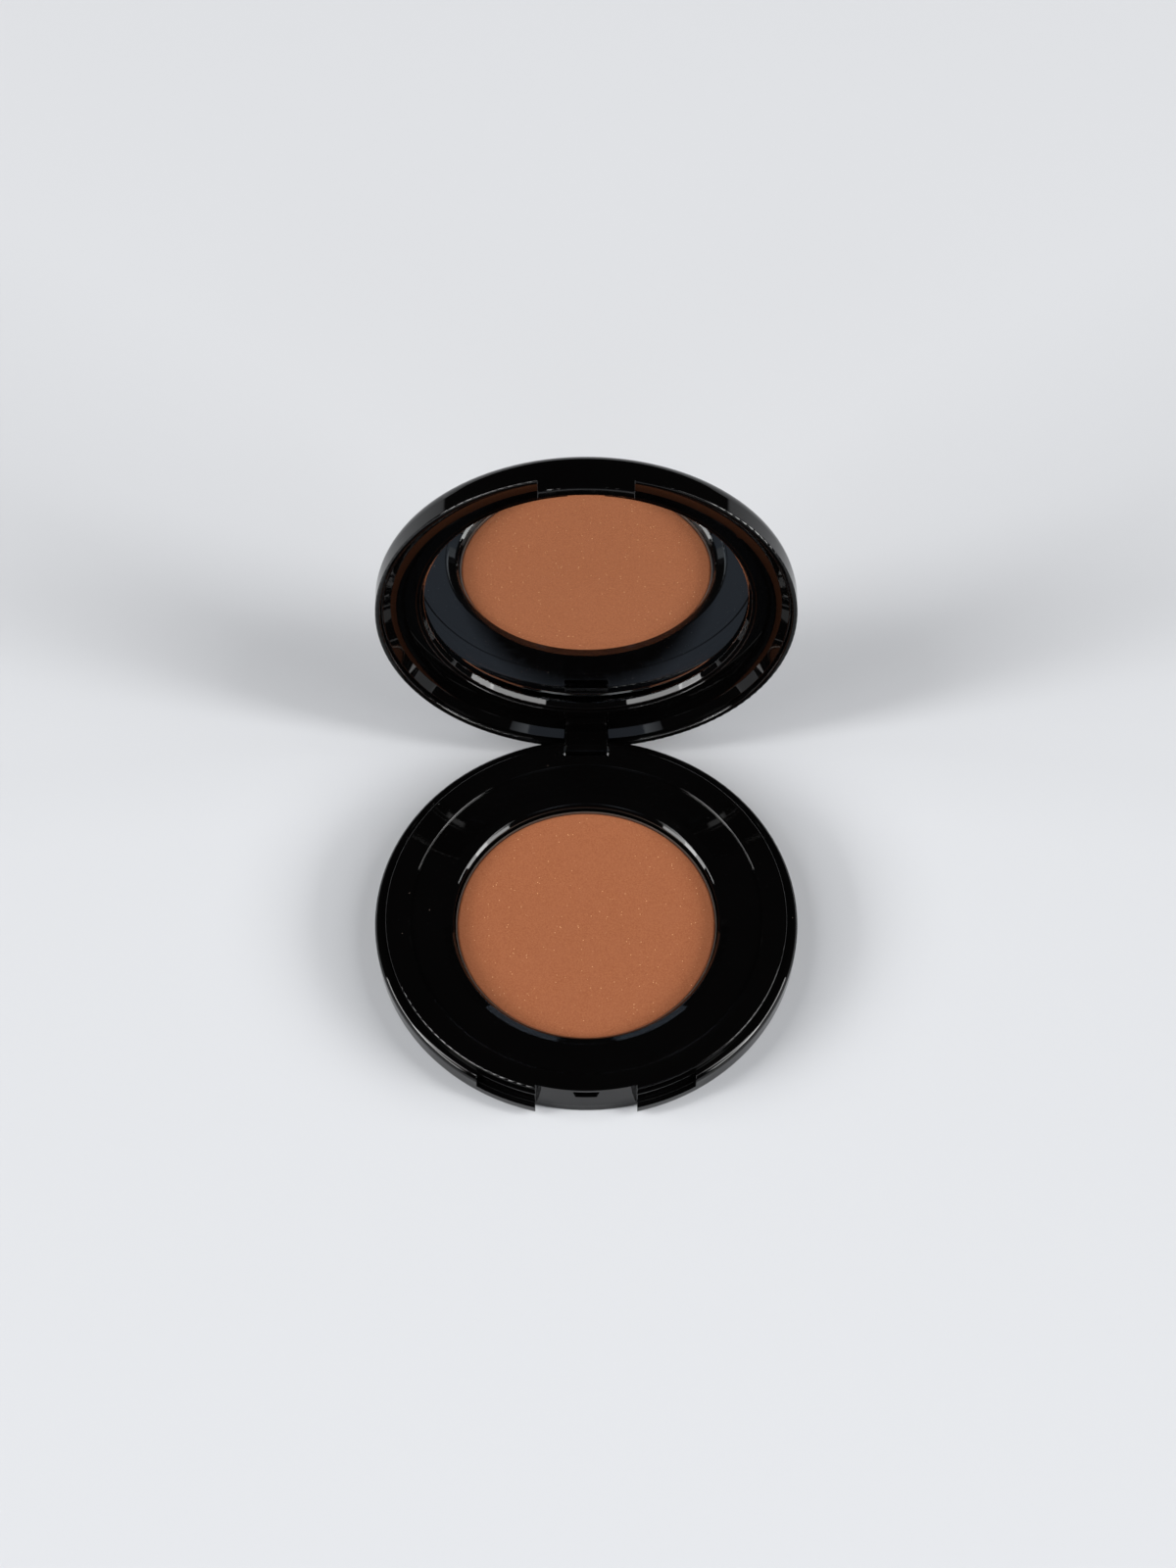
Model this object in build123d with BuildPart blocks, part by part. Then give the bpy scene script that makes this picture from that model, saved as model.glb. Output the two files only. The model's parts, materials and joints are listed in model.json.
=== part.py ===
from build123d import *
import math
import os

# A round pressed-powder compact with its lid open. Lengths are in millimetres.
# The origin is the centre of the base's underside, +Z is up, the latch is at -Y and the hinge
# at +Y. Base pieces are drawn upright. Lid pieces are drawn in the lid's own frame: its XY
# plane is the rim that closes on the base, and its Z runs out through the top of the lid.

# Case
case_radius = 30.0
base_height = 5.0
lid_radius = 29.8
lid_height = 5.25
parting_gap = 0.1
open_angle = 98.5
hinge_y = 28.65
hinge_below_rim = 1.2

# Base shell: a cup with a ledge that the lid's rim closes on
base_floor = 1.0
base_inner_radius = 28.5
base_draft = 0.3
base_bottom_round = 2.1
ledge_round = 0.9
groove_radius = 24.0
groove_width = 0.4
groove_depth = 0.2

# Tray top: a collar that stands inside the lid's rim, and a ring one step lower
collar_rise = 0.75
collar_round = 0.25
ring_radius = 25.0
ring_step = 0.3
ring_edge_round = 0.25

# Hinge: a steel pin through two cheeks of the base and the lid's lug
pin_radius = 0.5
pin_length = 10.0
pin_running_clearance = 0.03
hinge_block_width = 12.8
hinge_block_front = 26.0
hinge_block_top = 4.5
notch_width = 6.34
notch_front = 26.6
notch_floor = 0.9
lug_width = 5.95
lug_barrel_radius = 1.15
lug_front = 25.4
lug_face = 1.0
lug_corner_round = 0.5
rear_flat_y = 29.3
rear_flat_top = 3.7

# Latch: the lid's tab drops in front of a face of the tray that has a slot for its nib
recess_width = 14.3
recess_radius = 27.85
slot_top_width = 3.8
slot_bottom_width = 3.0
slot_bottom = 3.85
slot_height = 1.45
slot_depth = 0.8
tab_width = 13.5
tab_inner_radius = 28.15
tab_drop = 1.95
tab_root = 0.6
tab_round = 0.25
nib_width = 2.6
nib_height = 0.8
nib_proud = 0.2
nib_level = -0.5

# Finger pockets: two steps cut into the wall on each side of the recess
pocket_outer = 15.4
pocket_steps = [(28.9, 3.6), (29.4, 2.9)]

# Tray, pan and powder
tray_plate = 0.9
tray_skirt = 1.5
tray_fit = 0.05
well_lip_radius = 20.4
well_lip_round = 1.0
well_bevel_radius = 19.15
well_bevel_top = 4.95
well_bevel_round = 0.4
well_radius = 18.75
well_bevel_bottom = 4.55
well_skirt = 0.9
pan_radius = 18.5
pan_sheet = 0.2
pan_bottom_round = 0.7
pan_rim_height = 3.75
powder_below_rim = 0.15
powder_edge_round = 0.3
glue_thickness = 0.15
glue_dot_radius = 2.5
glue_circle_radius = 11.0
glue_dot_count = 3

# Lid shell and the mirror stack inside it
lid_corner_round = 2.7
lid_wall = 0.8
lid_top_wall = 0.95
lid_inner_round = 1.8
rim_edge_round = 0.2
bezel_fit = 0.1
bezel_outer_level = 0.69
bezel_edge_radius = 28.65
bezel_crease_radius = 27.6
bezel_crease_level = 1.62
bezel_curve_radius = 26.6
bezel_curve_level = 1.869
bezel_flat_radius = 25.6
bezel_inner_radius = 24.0
bezel_inner_level = 1.95
bezel_lip_radius = 23.4
bezel_lip_level = 2.1
bezel_lip_round = 0.15
bezel_mouth_radius = 22.95
bezel_skirt_radius = 24.3
bezel_skirt_wall = 0.9
bezel_back_level = 3.2
bezel_slot_clearance = 0.1
bezel_notch_width = 5.2
bezel_notch_depth = 0.3
mirror_radius = 24.2
mirror_level = 2.9
mirror_thickness = 1.2
mirror_edge_chamfer = 0.15
adhesive_radius = 22.5

# Heights and radii that follow
collar_top = base_height + collar_rise
tray_top = collar_top - ring_step
tray_underside = tray_top - tray_plate
collar_radius = base_inner_radius - tray_fit
rim_height = base_height + parting_gap
hinge_height = rim_height - hinge_below_rim
pan_bottom = base_floor + glue_thickness
powder_top = pan_rim_height - powder_below_rim
powder_radius = pan_radius - pan_sheet
lid_inner_radius = lid_radius - lid_wall
lid_ceiling = lid_height - lid_top_wall
mirror_back = mirror_level + mirror_thickness
clear = 10.0  # how far a cutter reaches past what it cuts

# The lid's frame in its open pose, swung back about the hinge axis
swing = math.radians(open_angle)
lid_origin = Vector(
    0,
    hinge_y * (1 - math.cos(swing)) + hinge_below_rim * math.sin(swing),
    hinge_height + hinge_y * math.sin(swing) + hinge_below_rim * math.cos(swing),
)
lid_out = Vector(0, math.sin(swing), math.cos(swing))
lid_plane = Plane(origin=lid_origin, x_dir=(1, 0, 0), z_dir=lid_out)
lid_section = Plane(origin=lid_origin, x_dir=(1, 0, 0), z_dir=-lid_plane.y_dir)
lid_side = Plane(origin=lid_origin, x_dir=lid_plane.y_dir, z_dir=(1, 0, 0))
lid_axis = Axis(lid_origin, lid_out)


def corner(sketch, x, y):
    """The sketch's vertex nearest to the local point x, y."""
    return sketch.vertices().sort_by_distance((x, y, 0))[0]


def strip(width, y_from, y_to, mode=Mode.ADD):
    """A rectangle centred on the Y axis, between two Y values."""
    with Locations((0, (y_from + y_to) / 2)):
        Rectangle(width, abs(y_to - y_from), mode=mode)


# Base shell: cup and hinge block
with BuildPart() as base_shell:
    with BuildSketch(Plane.XZ) as cup_section:
        with BuildLine():
            Polyline(
                (0, 0),
                (case_radius - base_draft, 0),
                (case_radius, base_height),
                (base_inner_radius, base_height),
                (base_inner_radius, base_floor),
                (0, base_floor),
                close=True,
            )
        make_face()
        fillet(corner(cup_section, case_radius - base_draft, 0), base_bottom_round)
        fillet(corner(cup_section, case_radius, base_height), ledge_round)
    revolve(axis=Axis.Z)

    with BuildSketch(Plane.XY.offset(base_floor)):
        Circle(base_inner_radius)
        strip(hinge_block_width, hinge_block_front, case_radius, mode=Mode.INTERSECT)
    extrude(amount=hinge_block_top - base_floor)

    # Recess for the lid's tab, open above and below
    with BuildSketch():
        Circle(case_radius + clear)
        Circle(recess_radius, mode=Mode.SUBTRACT)
        strip(recess_width, -case_radius - clear, 0, mode=Mode.INTERSECT)
    extrude(amount=collar_top, mode=Mode.SUBTRACT)

    # Stepped finger pockets
    for step_radius, step_height in pocket_steps:
        with BuildSketch(Plane.XY.offset(step_height)):
            Circle(case_radius + clear)
            Circle(step_radius, mode=Mode.SUBTRACT)
            strip(2 * pocket_outer, -case_radius - clear, 0, mode=Mode.INTERSECT)
        extrude(amount=base_height, mode=Mode.SUBTRACT)

    # Notch for the lid's lug, open at the back and above
    with BuildSketch(Plane.XY.offset(notch_floor)):
        strip(notch_width, notch_front, case_radius + clear)
    extrude(amount=base_height, mode=Mode.SUBTRACT)

    # Flat that the lid's rim swings past
    with BuildSketch():
        strip(2 * case_radius, rear_flat_y, case_radius + clear)
    extrude(amount=rear_flat_top, mode=Mode.SUBTRACT)

    # Pin bore, and a shallow groove around the underside
    with BuildSketch(Plane.YZ):
        with Locations((hinge_y, hinge_height)):
            Circle(pin_radius)
    extrude(amount=pin_length / 2, both=True, mode=Mode.SUBTRACT)

    with BuildSketch():
        Circle(groove_radius)
        Circle(groove_radius - groove_width, mode=Mode.SUBTRACT)
    extrude(amount=groove_depth, mode=Mode.SUBTRACT)

# Tray: collar, ring and the funnel-shaped well that frames the pan
with BuildPart() as pan_tray:
    with BuildSketch(Plane.XZ) as tray_section:
        with BuildLine():
            Polyline(
                (well_radius, base_floor),
                (well_radius, well_bevel_bottom),
                (well_bevel_radius, well_bevel_top),
                (well_lip_radius, tray_top),
                (ring_radius, tray_top),
                (ring_radius, collar_top),
                (collar_radius, collar_top),
                (collar_radius, base_floor),
                (collar_radius - tray_skirt, base_floor),
                (collar_radius - tray_skirt, tray_underside),
                (well_radius + well_skirt + tray_plate, tray_underside),
                (well_radius + well_skirt, tray_underside - tray_plate / 2),
                (well_radius + well_skirt, base_floor),
                close=True,
            )
        make_face()
        fillet(corner(tray_section, well_lip_radius, tray_top), well_lip_round)
        fillet(corner(tray_section, collar_radius, collar_top), collar_round)
        fillet(corner(tray_section, ring_radius, collar_top), ring_edge_round)
        fillet(corner(tray_section, well_bevel_radius, well_bevel_top), well_bevel_round)
    revolve(axis=Axis.Z)

    # Face behind the lid's tab
    with BuildSketch(Plane.XY.offset(base_floor)):
        Circle(case_radius)
        Circle(recess_radius, mode=Mode.SUBTRACT)
        strip(recess_width, -case_radius, 0, mode=Mode.INTERSECT)
    extrude(amount=collar_top, mode=Mode.SUBTRACT)

    # Slot for the nib, narrower at its bottom
    with BuildSketch(Plane.XZ.offset(recess_radius - slot_depth)):
        with BuildLine():
            Polyline(
                (-slot_bottom_width / 2, slot_bottom),
                (slot_bottom_width / 2, slot_bottom),
                (slot_top_width / 2, slot_bottom + slot_height),
                (-slot_top_width / 2, slot_bottom + slot_height),
                close=True,
            )
        make_face()
    extrude(amount=clear, mode=Mode.SUBTRACT)

    # Room for the hinge block and the lid's lug
    with BuildSketch(Plane.XY.offset(base_floor)):
        strip(hinge_block_width + 4 * tray_fit, hinge_block_front - tray_fit, case_radius)
    extrude(amount=tray_underside - base_floor, mode=Mode.SUBTRACT)
    with BuildSketch(Plane.XY.offset(base_floor)):
        strip(notch_width, notch_front, case_radius)
    extrude(amount=collar_top, mode=Mode.SUBTRACT)

# Pan: a shallow pressed dish
with BuildPart() as pan:
    with BuildSketch(Plane.XZ) as pan_section:
        with BuildLine():
            Polyline(
                (0, pan_bottom),
                (pan_radius, pan_bottom),
                (pan_radius, pan_rim_height),
                (pan_radius - pan_sheet, pan_rim_height),
                (pan_radius - pan_sheet, pan_bottom + pan_sheet),
                (0, pan_bottom + pan_sheet),
                close=True,
            )
        make_face()
        fillet(corner(pan_section, pan_radius, pan_bottom), pan_bottom_round)
        fillet(
            corner(pan_section, pan_radius - pan_sheet, pan_bottom + pan_sheet),
            pan_bottom_round - pan_sheet,
        )
    revolve(axis=Axis.Z)

# Powder: the pressed cake that fills the pan
with BuildPart() as powder_cake:
    with BuildSketch(Plane.XZ) as cake_section:
        with BuildLine():
            Polyline(
                (0, pan_bottom + pan_sheet),
                (powder_radius, pan_bottom + pan_sheet),
                (powder_radius, powder_top),
                (0, powder_top),
                close=True,
            )
        make_face()
        fillet(
            corner(cake_section, powder_radius, pan_bottom + pan_sheet),
            pan_bottom_round - pan_sheet,
        )
        fillet(corner(cake_section, powder_radius, powder_top), powder_edge_round)
    revolve(axis=Axis.Z)

# Glue dots between the pan and the base's floor
with BuildPart() as pan_adhesive:
    with BuildSketch(Plane.XY.offset(base_floor)):
        with PolarLocations(glue_circle_radius, glue_dot_count, start_angle=90):
            Circle(glue_dot_radius)
    extrude(amount=glue_thickness)

# Hinge pin, pressed into the base's cheeks
with BuildPart() as hinge_pin:
    with BuildSketch(Plane.YZ):
        with Locations((hinge_y, hinge_height)):
            Circle(pin_radius)
    extrude(amount=pin_length / 2, both=True)

# Latch tab that hangs below the lid's rim, with its nib: moulded as part of the lid shell
with BuildPart() as latch_tab:
    with BuildSketch(lid_section) as tab_section:
        with Locations(((tab_inner_radius + lid_radius) / 2, (tab_root - tab_drop) / 2)):
            Rectangle(lid_radius - tab_inner_radius, tab_root + tab_drop)
        fillet(corner(tab_section, tab_inner_radius, -tab_drop), tab_round)
        fillet(corner(tab_section, lid_radius, -tab_drop), tab_round)
    revolve(axis=lid_axis)
    with BuildSketch(lid_plane.offset(nib_level - nib_height / 2)):
        Circle(tab_inner_radius + lid_wall / 2)
        Circle(tab_inner_radius - nib_proud, mode=Mode.SUBTRACT)
        strip(nib_width, -case_radius, 0, mode=Mode.INTERSECT)
    extrude(amount=nib_height)
    with BuildSketch(lid_plane.offset(-tab_drop)):
        strip(tab_width, -case_radius - clear, 0)
    extrude(amount=tab_drop + tab_root, mode=Mode.INTERSECT)

# Lid shell: dome, rim, hinge lug and latch tab
with BuildPart() as lid_shell:
    with BuildSketch(lid_section) as dome_section:
        with BuildLine():
            Polyline(
                (0, lid_height),
                (lid_radius, lid_height),
                (lid_radius, 0),
                (lid_inner_radius, 0),
                (lid_inner_radius, lid_ceiling),
                (0, lid_ceiling),
                close=True,
            )
        make_face()
        fillet(corner(dome_section, lid_radius, lid_height), lid_corner_round)
        fillet(corner(dome_section, lid_inner_radius, lid_ceiling), lid_inner_round)
        fillet(corner(dome_section, lid_radius, 0), rim_edge_round)
        fillet(corner(dome_section, lid_inner_radius, 0), rim_edge_round)
    revolve(axis=lid_axis)
    add(latch_tab.part)

    # Lug root: a block on the lid's ceiling that carries the barrel
    with BuildSketch(lid_plane.offset(lug_face)) as lug_plan:
        Circle(lid_radius - lid_wall / 2)
        strip(lug_width, lug_front, case_radius, mode=Mode.INTERSECT)
        fillet(corner(lug_plan, lug_width / 2, lug_front), lug_corner_round)
        fillet(corner(lug_plan, -lug_width / 2, lug_front), lug_corner_round)
    extrude(amount=mirror_back - lug_face)

    # Barrel around the pin, and the web that joins it to the root
    with BuildSketch(lid_side):
        with Locations((hinge_y, -hinge_below_rim)):
            Circle(lug_barrel_radius)
        with Locations((hinge_y, (lug_face + tab_root - hinge_below_rim) / 2)):
            Rectangle(2 * lug_barrel_radius, lug_face + tab_root + hinge_below_rim)
        with Locations((hinge_y, -hinge_below_rim)):
            Circle(pin_radius + pin_running_clearance, mode=Mode.SUBTRACT)
    extrude(amount=lug_width / 2, both=True)

# Mirror bezel: the curved ring that holds the glass against the lid's ceiling
with BuildPart() as mirror_bezel:
    with BuildSketch(lid_section) as bezel_section:
        with BuildLine():
            ThreePointArc(
                (bezel_crease_radius, bezel_crease_level),
                (bezel_curve_radius, bezel_curve_level),
                (bezel_flat_radius, bezel_inner_level),
            )
            Polyline(
                (bezel_flat_radius, bezel_inner_level),
                (bezel_inner_radius, bezel_inner_level),
                (bezel_inner_radius, bezel_lip_level),
                (bezel_lip_radius, bezel_lip_level),
                (bezel_mouth_radius, mirror_level),
                (bezel_skirt_radius, mirror_level),
                (bezel_skirt_radius, lid_ceiling),
                (bezel_skirt_radius + bezel_skirt_wall, lid_ceiling),
                (bezel_skirt_radius + bezel_skirt_wall, bezel_back_level),
                (lid_inner_radius - bezel_fit, lid_height - lid_corner_round),
                (lid_inner_radius - bezel_fit, bezel_outer_level),
                (bezel_edge_radius, bezel_outer_level),
                (bezel_crease_radius, bezel_crease_level),
            )
        make_face()
        fillet(corner(bezel_section, bezel_lip_radius, bezel_lip_level), bezel_lip_round)
    revolve(axis=lid_axis)

    # Slot for the lug, and the shallow notch in the lip in front
    with BuildSketch(lid_plane):
        strip(
            lug_width + 2 * bezel_slot_clearance,
            lug_front - bezel_slot_clearance,
            case_radius,
        )
        strip(bezel_notch_width, -bezel_lip_radius - bezel_notch_depth, -bezel_lip_radius / 2)
    extrude(amount=mirror_level, mode=Mode.SUBTRACT)
    with BuildSketch(lid_plane):
        strip(
            lug_width + 2 * bezel_slot_clearance,
            lug_front - bezel_slot_clearance,
            case_radius,
        )
    extrude(amount=lid_height, mode=Mode.SUBTRACT)

# Mirror glass and the adhesive disc behind it
with BuildPart() as mirror_glass:
    with BuildSketch(lid_plane.offset(mirror_level)):
        Circle(mirror_radius)
    extrude(amount=mirror_thickness)
    chamfer(mirror_glass.edges().filter_by(GeomType.CIRCLE), mirror_edge_chamfer)

with BuildPart() as mirror_adhesive:
    with BuildSketch(lid_plane.offset(mirror_back)):
        Circle(adhesive_radius)
    extrude(amount=lid_ceiling - mirror_back)

# Labels and files
base_shell.part.label = "base_shell"
pan_tray.part.label = "pan_tray"
pan.part.label = "pan"
powder_cake.part.label = "powder_cake"
pan_adhesive.part.label = "pan_adhesive"
hinge_pin.part.label = "hinge_pin"
lid_shell.part.label = "lid_shell"
mirror_bezel.part.label = "mirror_bezel"
mirror_glass.part.label = "mirror_glass"
mirror_adhesive.part.label = "mirror_adhesive"

os.makedirs("parts", exist_ok=True)
export_step(base_shell.part, "parts/base_shell.step")
export_step(pan_tray.part, "parts/pan_tray.step")
export_step(pan.part, "parts/pan.step")
export_step(powder_cake.part, "parts/powder_cake.step")
export_step(pan_adhesive.part, "parts/pan_adhesive.step")
export_step(hinge_pin.part, "parts/hinge_pin.step")
export_step(lid_shell.part, "parts/lid_shell.step")
export_step(mirror_bezel.part, "parts/mirror_bezel.step")
export_step(mirror_glass.part, "parts/mirror_glass.step")
export_step(mirror_adhesive.part, "parts/mirror_adhesive.step")
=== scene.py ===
import json
import math

import bpy
from mathutils import Matrix, Vector, noise

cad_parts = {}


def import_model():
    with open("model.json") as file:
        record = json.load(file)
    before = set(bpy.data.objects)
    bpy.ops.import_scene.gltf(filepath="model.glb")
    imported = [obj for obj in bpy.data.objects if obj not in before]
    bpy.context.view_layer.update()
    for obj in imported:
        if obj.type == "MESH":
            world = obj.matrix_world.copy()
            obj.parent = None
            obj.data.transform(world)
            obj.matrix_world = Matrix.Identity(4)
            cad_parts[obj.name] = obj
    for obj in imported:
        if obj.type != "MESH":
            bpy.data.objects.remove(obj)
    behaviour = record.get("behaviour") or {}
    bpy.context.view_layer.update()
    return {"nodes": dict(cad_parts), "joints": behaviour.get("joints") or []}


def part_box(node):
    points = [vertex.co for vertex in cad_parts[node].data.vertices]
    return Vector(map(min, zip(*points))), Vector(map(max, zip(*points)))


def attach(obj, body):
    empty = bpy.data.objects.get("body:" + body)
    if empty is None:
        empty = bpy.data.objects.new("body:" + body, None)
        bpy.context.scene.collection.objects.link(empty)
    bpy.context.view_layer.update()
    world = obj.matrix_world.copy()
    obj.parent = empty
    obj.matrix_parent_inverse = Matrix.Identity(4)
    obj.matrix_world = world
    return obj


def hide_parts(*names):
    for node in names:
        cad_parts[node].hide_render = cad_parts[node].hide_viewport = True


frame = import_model()
nodes = frame["nodes"]

MM = 0.001
RIM_HEIGHT = 5.1  # the closed lid's rim above the floor, mm
GLASS_BACK = 4.1  # the back of the mirror's glass, from the rim, mm
SILVER_RADIUS = 24.0  # mm
SILVER_DEPTHS = (0.008, 0.035)  # the silvering's two faces, in from the back of the glass, mm

VIEW_HEIGHT = 1600 / 7.20  # what the camera takes in at its target, mm
CAMERA_DISTANCE = 1289.3  # mm
CAMERA_ELEVATION = math.radians(59.74)
SENSOR = 36.0  # mm

CENTRE = Vector((0, 0, 0.01))  # the point that the lights face, at the closed lid's top
COOL = (0.68, 0.80, 1.0)  # the front panel's colour
PALE_BLUE = (0.85, 0.92, 1.0)  # the strips' colour


# ---------------------------------------------------------------- node helpers
class Tree:
    """A material's node tree, with short calls for the nodes used here. Sizes are in mm."""

    def __init__(self, name):
        self.mat = bpy.data.materials.new(name)
        self.mat.use_nodes = True
        self.nt = self.mat.node_tree
        self.shader = self.nt.nodes["Principled BSDF"]
        self.place = self.nt.nodes.new("ShaderNodeTexCoord").outputs["Object"]

    def set(self, **values):
        """Constants on the shader's own sockets."""
        for name, value in values.items():
            self.shader.inputs[name.replace("_", " ")].default_value = value

    def link(self, source, target):
        self.nt.links.new(source, self.shader.inputs[target] if isinstance(target, str) else target)

    def noise(self, size, detail=2.0, rough=0.5, place=None):
        """Soft noise whose features are about size millimetres across."""
        n = self.nt.nodes.new("ShaderNodeTexNoise")
        n.inputs["Scale"].default_value = 1 / (size * MM)
        n.inputs["Detail"].default_value = detail
        n.inputs["Roughness"].default_value = rough
        self.nt.links.new(place or self.place, n.inputs["Vector"])
        return n.outputs["Fac"]

    def cells(self, size):
        """The distance to the nearest of scattered points, about size millimetres apart."""
        n = self.nt.nodes.new("ShaderNodeTexVoronoi")
        n.inputs["Scale"].default_value = 1 / (size * MM)
        self.nt.links.new(self.place, n.inputs["Vector"])
        return n.outputs["Distance"]

    def vector(self, operation, other, output):
        """The place, combined with a fixed vector."""
        n = self.nt.nodes.new("ShaderNodeVectorMath")
        n.operation = operation
        n.inputs[1].default_value = other
        self.nt.links.new(self.place, n.inputs[0])
        return n.outputs[output]

    def spread(self, value, low, high, to_low=0.0, to_high=1.0):
        n = self.nt.nodes.new("ShaderNodeMapRange")
        n.inputs["From Min"].default_value = low
        n.inputs["From Max"].default_value = high
        n.inputs["To Min"].default_value = to_low
        n.inputs["To Max"].default_value = to_high
        self.nt.links.new(value, n.inputs["Value"])
        return n.outputs["Result"]

    def math(self, operation, a, b):
        n = self.nt.nodes.new("ShaderNodeMath")
        n.operation = operation
        for socket, value in zip(n.inputs, (a, b)):
            if isinstance(value, (int, float)):
                socket.default_value = value
            else:
                self.nt.links.new(value, socket)
        return n.outputs[0]

    def mix(self, factor, a, b):
        n = self.nt.nodes.new("ShaderNodeMix")
        n.data_type = "RGBA"
        self.nt.links.new(factor, n.inputs["Factor"])
        for socket, value in ((n.inputs["A"], a), (n.inputs["B"], b)):
            if isinstance(value, tuple):
                socket.default_value = (*value, 1)
            else:
                self.nt.links.new(value, socket)
        return n.outputs["Result"]

    def eased_edges(self, radius):
        """A normal that turns softly over sharp edges, as moulded ones do."""
        n = self.nt.nodes.new("ShaderNodeBevel")
        n.samples = 6
        n.inputs["Radius"].default_value = radius * MM
        return n.outputs["Normal"]

    def bump(self, height, depth, strength=1.0, after=None):
        n = self.nt.nodes.new("ShaderNodeBump")
        n.inputs["Strength"].default_value = strength
        n.inputs["Distance"].default_value = depth * MM
        self.nt.links.new(height, n.inputs["Height"])
        if after is not None:
            self.nt.links.new(after, n.inputs["Normal"])
        return n.outputs["Normal"]


# ---------------------------------------------------------------- materials
def black_gloss(name):
    """Polished black plastic: faint flow marks, fine scuffs in its gloss and a little dust."""
    t = Tree(name)
    t.set(IOR=1.36)
    cloud = t.noise(9.0, 3.0)
    base = t.mix(cloud, (0.0008, 0.0007, 0.0007), (0.0015, 0.0014, 0.0014))
    speck = t.math("LESS_THAN", t.cells(3.1), 0.028)
    chosen = t.math("GREATER_THAN", t.noise(2.3, 0.0), 0.56)
    dust = t.math("MULTIPLY", speck, chosen)
    t.link(t.mix(dust, base, (0.10, 0.075, 0.06)), "Base Color")
    scuff = t.spread(t.noise(1.7, 5.0, 0.6), 0.45, 0.75, 0.018, 0.05)
    t.link(t.math("MAXIMUM", scuff, t.math("MULTIPLY", dust, 0.6)), "Roughness")
    t.link(t.bump(t.noise(6.0, 1.0), 0.004, 0.2, t.eased_edges(0.16)), "Normal")
    return t.mat


def powder_pressed():
    """Pressed bronzing powder: pigment grain, faint mottling and flecks of golden mica."""
    t = Tree("powder_pressed")
    t.set(IOR=1.45, Specular_IOR_Level=0.2)
    grain = t.noise(0.22, 5.0, 0.7)
    cloud = t.noise(2.6, 2.0)
    tone = t.mix(t.spread(grain, 0.32, 0.68), (0.275, 0.086, 0.035), (0.395, 0.139, 0.060))
    tone = t.mix(t.spread(cloud, 0.3, 0.7, 0.0, 0.3), tone, (0.352, 0.122, 0.055))
    near = t.spread(t.cells(0.42), 0.10, 0.20, 1.0, 0.0)
    bright = t.spread(t.noise(0.9, 0.0), 0.60, 0.68)
    fleck = t.math("MULTIPLY", near, bright)
    t.link(t.mix(fleck, tone, (0.86, 0.50, 0.24)), "Base Color")
    t.link(t.math("MULTIPLY", fleck, 0.55), "Metallic")
    t.link(t.spread(fleck, 0.0, 1.0, 0.92, 0.38), "Roughness")
    t.link(t.bump(grain, 0.03, 0.45), "Normal")
    return t.mat


def metal(name, colour, rough, streak=1.0):
    """Bare metal with fine scratches; streak stretches them along X."""
    t = Tree(name)
    t.set(Metallic=1.0)
    fine = t.noise(0.12, 4.0, 0.6, t.vector("MULTIPLY", (1 / streak, 1, 1), "Vector"))
    darker = tuple(c * 0.82 for c in colour)
    t.link(t.mix(fine, colour, darker), "Base Color")
    t.link(t.spread(fine, 0.3, 0.7, rough * 0.75, rough * 1.25), "Roughness")
    t.link(t.bump(fine, 0.01, 0.3), "Normal")
    return t.mat


def silver():
    """The silvering at the back of the mirror."""
    t = Tree("mirror_silver")
    t.set(Metallic=1.0)
    t.link(t.mix(t.noise(12.0, 2.0), (0.93, 0.94, 0.94), (0.90, 0.92, 0.93)), "Base Color")
    t.link(t.spread(t.noise(5.0, 4.0), 0.45, 0.8, 0.0, 0.02), "Roughness")
    return t.mat


def clear_glass():
    """Float glass with a trace of green and a few faint smears."""
    t = Tree("mirror_glass_clear")
    t.set(IOR=1.5, Transmission_Weight=1.0)
    t.link(t.mix(t.noise(10.0, 2.0), (0.985, 0.995, 0.99), (0.975, 0.99, 0.985)), "Base Color")
    t.link(t.spread(t.noise(3.0, 5.0, 0.65), 0.5, 0.85, 0.0, 0.02), "Roughness")
    return t.mat


def glue():
    """Milky adhesive with a soft uneven skin."""
    t = Tree("glue_milky")
    t.link(t.mix(t.noise(1.0, 3.0), (0.75, 0.74, 0.70), (0.62, 0.61, 0.56)), "Base Color")
    t.link(t.spread(t.noise(0.7, 3.0), 0.3, 0.7, 0.35, 0.6), "Roughness")
    t.link(t.bump(t.noise(0.8, 2.0), 0.05, 0.5), "Normal")
    return t.mat


def dress(node, material):
    mesh = nodes[node].data
    mesh.materials.clear()
    mesh.materials.append(material)


shell_black = black_gloss("case_gloss")
for name in ("base_shell", "pan_tray", "lid_shell", "mirror_bezel"):
    dress(name, shell_black)
dress("pan", metal("pan_aluminium", (0.34, 0.27, 0.23), 0.5))
dress("hinge_pin", metal("pin_steel", (0.62, 0.62, 0.63), 0.28, streak=12.0))
dress("mirror_glass", clear_glass())
milky = glue()
dress("pan_adhesive", milky)
dress("mirror_adhesive", milky)


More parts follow.
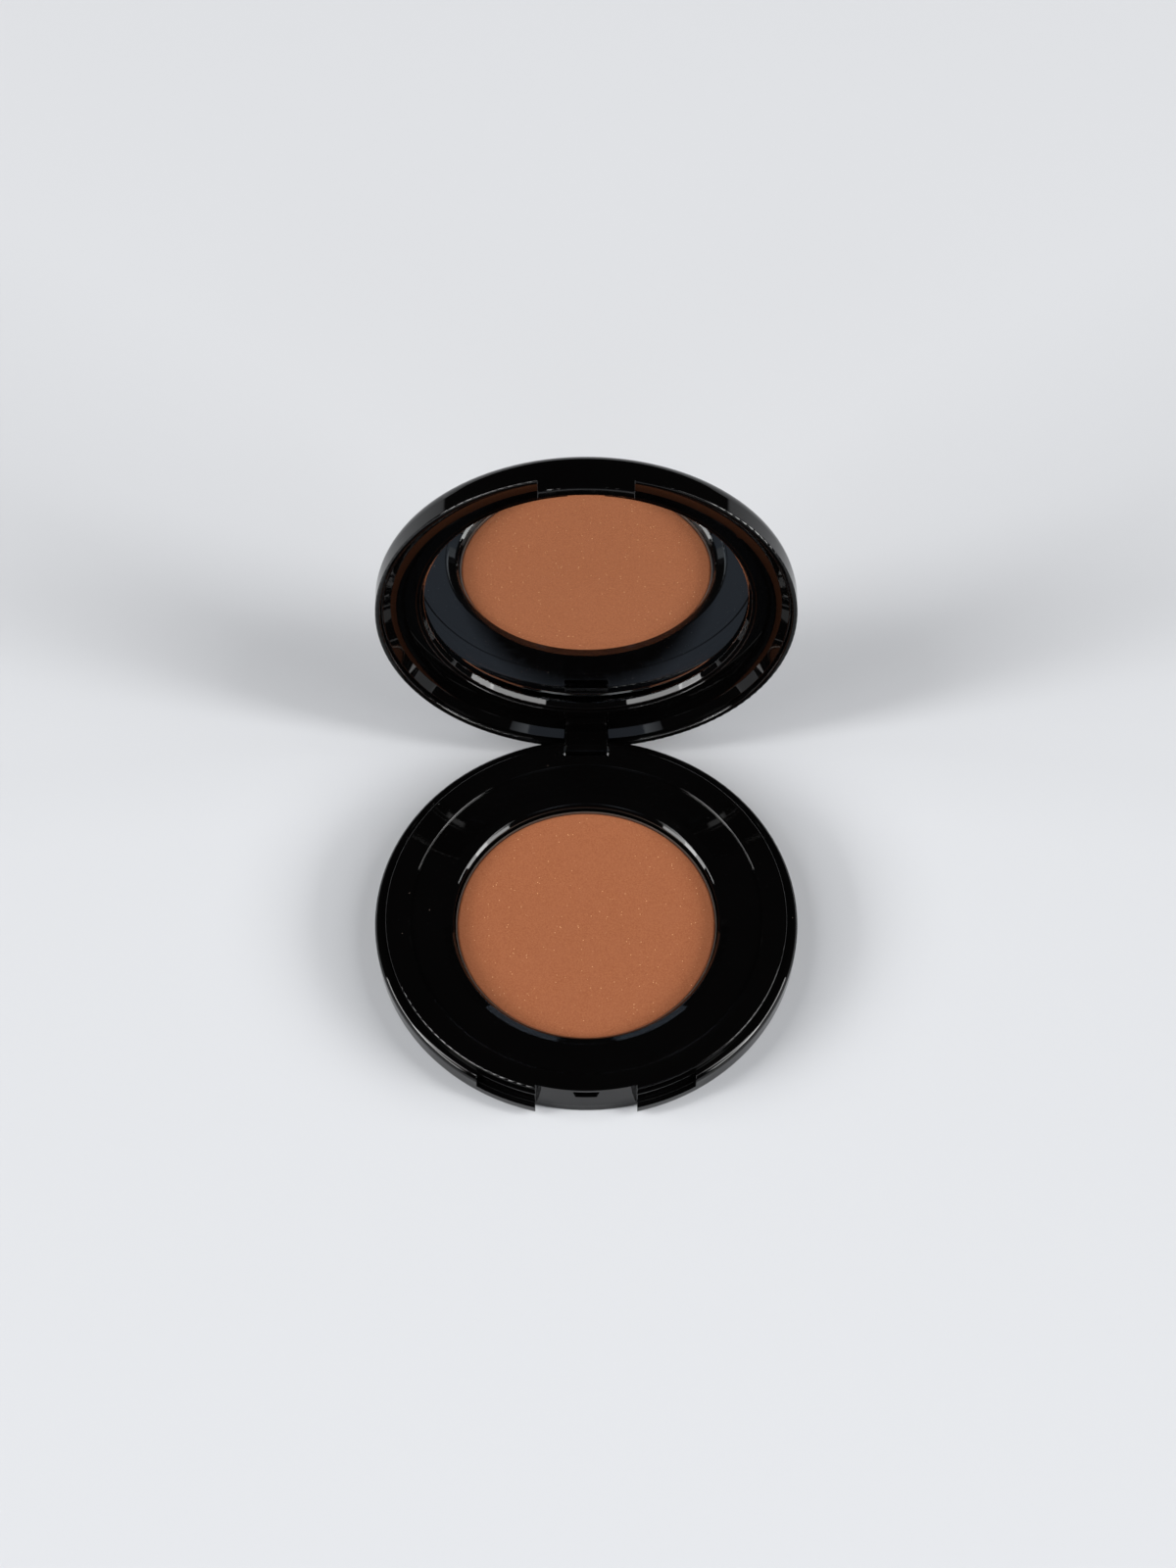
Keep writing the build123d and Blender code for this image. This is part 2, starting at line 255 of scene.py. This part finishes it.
# ---------------------------------------------------------------- new pieces
def lathe(name, profile, segments, material, body, place=Matrix.Identity(4)):
    """A closed piece of revolution about Z. The profile is (radius, height) in millimetres,
    from the middle of its top face round to the middle of its underside."""
    top, bottom, rings = profile[0], profile[-1], profile[1:-1]
    verts = [(0, 0, top[1]), (0, 0, bottom[1])]
    for radius, height in rings:
        for k in range(segments):
            a = 2 * math.pi * k / segments
            verts.append((radius * math.cos(a), radius * math.sin(a), height))
    faces = []
    last = 2 + (len(rings) - 1) * segments
    for k in range(segments):
        n = (k + 1) % segments
        faces.append((0, 2 + k, 2 + n))
        faces.append((1, last + n, last + k))
        for ring in range(len(rings) - 1):
            i, j = 2 + ring * segments, 2 + (ring + 1) * segments
            faces.append((i + k, j + k, j + n, i + n))
    mesh = bpy.data.meshes.new(name)
    mesh.from_pydata([Vector(v) * MM for v in verts], [], faces)
    mesh.transform(place)
    mesh.update()
    mesh.materials.append(material)
    obj = bpy.data.objects.new(name, mesh)
    bpy.context.scene.collection.objects.link(obj)
    mesh.shade_smooth()
    mesh.set_sharp_from_angle(angle=math.radians(35))
    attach(obj, body)
    return obj


def powder():
    """The cake, with a pressed surface that is very slightly uneven and open-grained."""
    low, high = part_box("powder_cake")
    radius = high.x / MM
    top, bottom = high.z / MM, low.z / MM
    edge, heel = 0.3, 0.5
    rings, corner, round_about = 150, 4, 480
    profile = [(0, top)]
    for k in range(1, rings + 1):
        profile.append(((radius - edge) * k / rings, top))
    for k in range(1, corner + 1):
        a = math.pi / 2 * k / corner
        profile.append((radius - edge + edge * math.sin(a), top - edge + edge * math.cos(a)))
    for k in range(corner + 1):
        a = math.pi / 2 * k / corner
        profile.append((radius - heel + heel * math.cos(a), bottom + heel - heel * math.sin(a)))
    profile.append((0, bottom))
    obj = lathe("powder_pressed_cake", profile, round_about, powder_pressed(), "base")
    skin = (top - 0.2) * MM
    for vertex in obj.data.vertices:
        if vertex.co.z > skin:
            at = vertex.co / MM
            swell = noise.noise(at * 0.16) * 0.012
            grain = noise.fractal(at * 2.2, 0.8, 2.1, 3) * 0.010
            pit = max(0.0, noise.noise(at * 3.1 + Vector((9, 4, 2))) - 0.45) * 0.05
            vertex.co.z += (min(swell + grain, 0.02) - pit) * MM
    obj.data.update()
    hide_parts("powder_cake")


def lid_place():
    """Where the lid's own frame is when it is open; its origin is the middle of its rim."""
    joint = frame["joints"][0]
    hinge = Matrix.Translation(Vector(joint["pos_m"]))
    opened = Matrix.Rotation(math.radians(joint["range_deg"][0]), 4, "X")
    return hinge @ opened @ hinge.inverted() @ Matrix.Translation((0, 0, RIM_HEIGHT * MM))


def silvering():
    """A thin reflecting layer on the back of the mirror's glass, with a narrow plain margin."""
    back, front = (GLASS_BACK - depth for depth in SILVER_DEPTHS)
    profile = [(0, back), (SILVER_RADIUS, back), (SILVER_RADIUS, front), (0, front)]
    lathe("mirror_silvering", profile, 256, silver(), "lid", lid_place())


powder()
silvering()


# ---------------------------------------------------------------- floor, light, camera
def sheet(name, width, height, material):
    """A flat rectangle that isn't part of the object."""
    x, y = width / 2, height / 2
    mesh = bpy.data.meshes.new(name)
    mesh.from_pydata([(-x, -y, 0), (x, -y, 0), (x, y, 0), (-x, y, 0)], [], [(0, 1, 2, 3)])
    mesh.materials.append(material)
    obj = bpy.data.objects.new(name, mesh)
    bpy.context.scene.collection.objects.link(obj)
    return obj


def floor():
    t = Tree("floor_pale")
    t.set(Roughness=0.9, Specular_IOR_Level=0.0)
    t.link(t.mix(t.noise(400.0, 2.0), (0.68, 0.69, 0.71), (0.70, 0.71, 0.73)), "Base Color")
    sheet("floor", 24.0, 24.0, t.mat).location.z = -0.0002


def away(azimuth, elevation):
    """The direction from the object at these angles, in degrees; azimuth 0 is +X."""
    a, e = math.radians(azimuth), math.radians(elevation)
    return Vector((math.cos(a) * math.cos(e), math.sin(a) * math.cos(e), math.sin(e)))


def softbox(name, azimuth, elevation, distance, size, radiance):
    """A rectangular lamp aimed at the object, with its radiance given."""
    data = bpy.data.lights.new(name, "AREA")
    data.shape = "RECTANGLE"
    data.size, data.size_y = size
    data.energy = radiance * math.pi * size[0] * size[1]
    lamp = bpy.data.objects.new(name, data)
    towards = away(azimuth, elevation)
    lamp.location = towards * distance + CENTRE
    lamp.rotation_euler = towards.to_track_quat("Z", "Y").to_euler()
    lamp.visible_camera = False
    bpy.context.scene.collection.objects.link(lamp)


def glow(name, azimuth, elevation, distance, size, colour, strengths, centre, fade):
    """A panel that glows towards the object. Its strength goes from the first of strengths to
    the second over the distances in fade, from a point that is centre above its middle."""
    t = Tree(name + "_light")
    t.set(Base_Color=(0, 0, 0, 1), Roughness=1.0, Specular_IOR_Level=0.0)
    t.set(Emission_Color=(*colour, 1))
    reach = t.vector("DISTANCE", (0, centre, 0), "Value")
    t.link(t.spread(reach, *fade, *strengths), "Emission Strength")
    panel = sheet(name, *size, t.mat)
    towards = away(azimuth, elevation)
    panel.location = towards * distance + CENTRE
    panel.rotation_euler = (-towards).to_track_quat("Z", "Y").to_euler()
    panel.visible_camera = False
    panel.visible_shadow = False


def world():
    w = bpy.data.worlds.new("studio")
    bpy.context.scene.world = w
    w.use_nodes = True
    back = w.node_tree.nodes["Background"]
    back.inputs["Color"].default_value = (0.014, 0.014, 0.015, 1)
    back.inputs["Strength"].default_value = 1.0


def camera():
    rise, run = math.sin(CAMERA_ELEVATION), math.cos(CAMERA_ELEVATION)
    up = Vector((0, rise, run))
    target = (Vector((0.25, 0, 4.0)) + 19.78 * up) * MM
    back = Vector((0, -run, rise))
    data = bpy.data.cameras.new("camera")
    data.lens = SENSOR * CAMERA_DISTANCE / VIEW_HEIGHT
    data.sensor_width = SENSOR
    data.clip_start = 0.1
    data.clip_end = 20.0
    cam = bpy.data.objects.new("camera", data)
    bpy.context.scene.collection.objects.link(cam)
    cam.location = target + back * CAMERA_DISTANCE * MM
    cam.rotation_euler = (-back).to_track_quat("-Z", "Y").to_euler()
    bpy.context.scene.camera = cam


floor()
world()
camera()
for side, azimuth in (("right", -12), ("left", 192)):
    softbox(f"key_{side}", azimuth, 22, 2.4, (1.94, 0.68), 11.0)
for side, azimuth in (("right", -14), ("left", 194)):
    softbox(f"tall_{side}", azimuth, 38, 2.4, (0.42, 2.3), 9.5)
glow("front_panel", -90, 43, 0.5, (0.64, 0.07), COOL, (0.0, 0.72), -0.016, (0.0225, 0.0265))
for side, azimuth in (("right", -66), ("left", 246)):
    glow(f"strip_{side}", azimuth, 35, 1.2, (0.5, 0.17), PALE_BLUE, (2.2, 0.0), 0.0, (0.06, 0.25))
bpy.context.scene.view_settings.view_transform = "Standard"
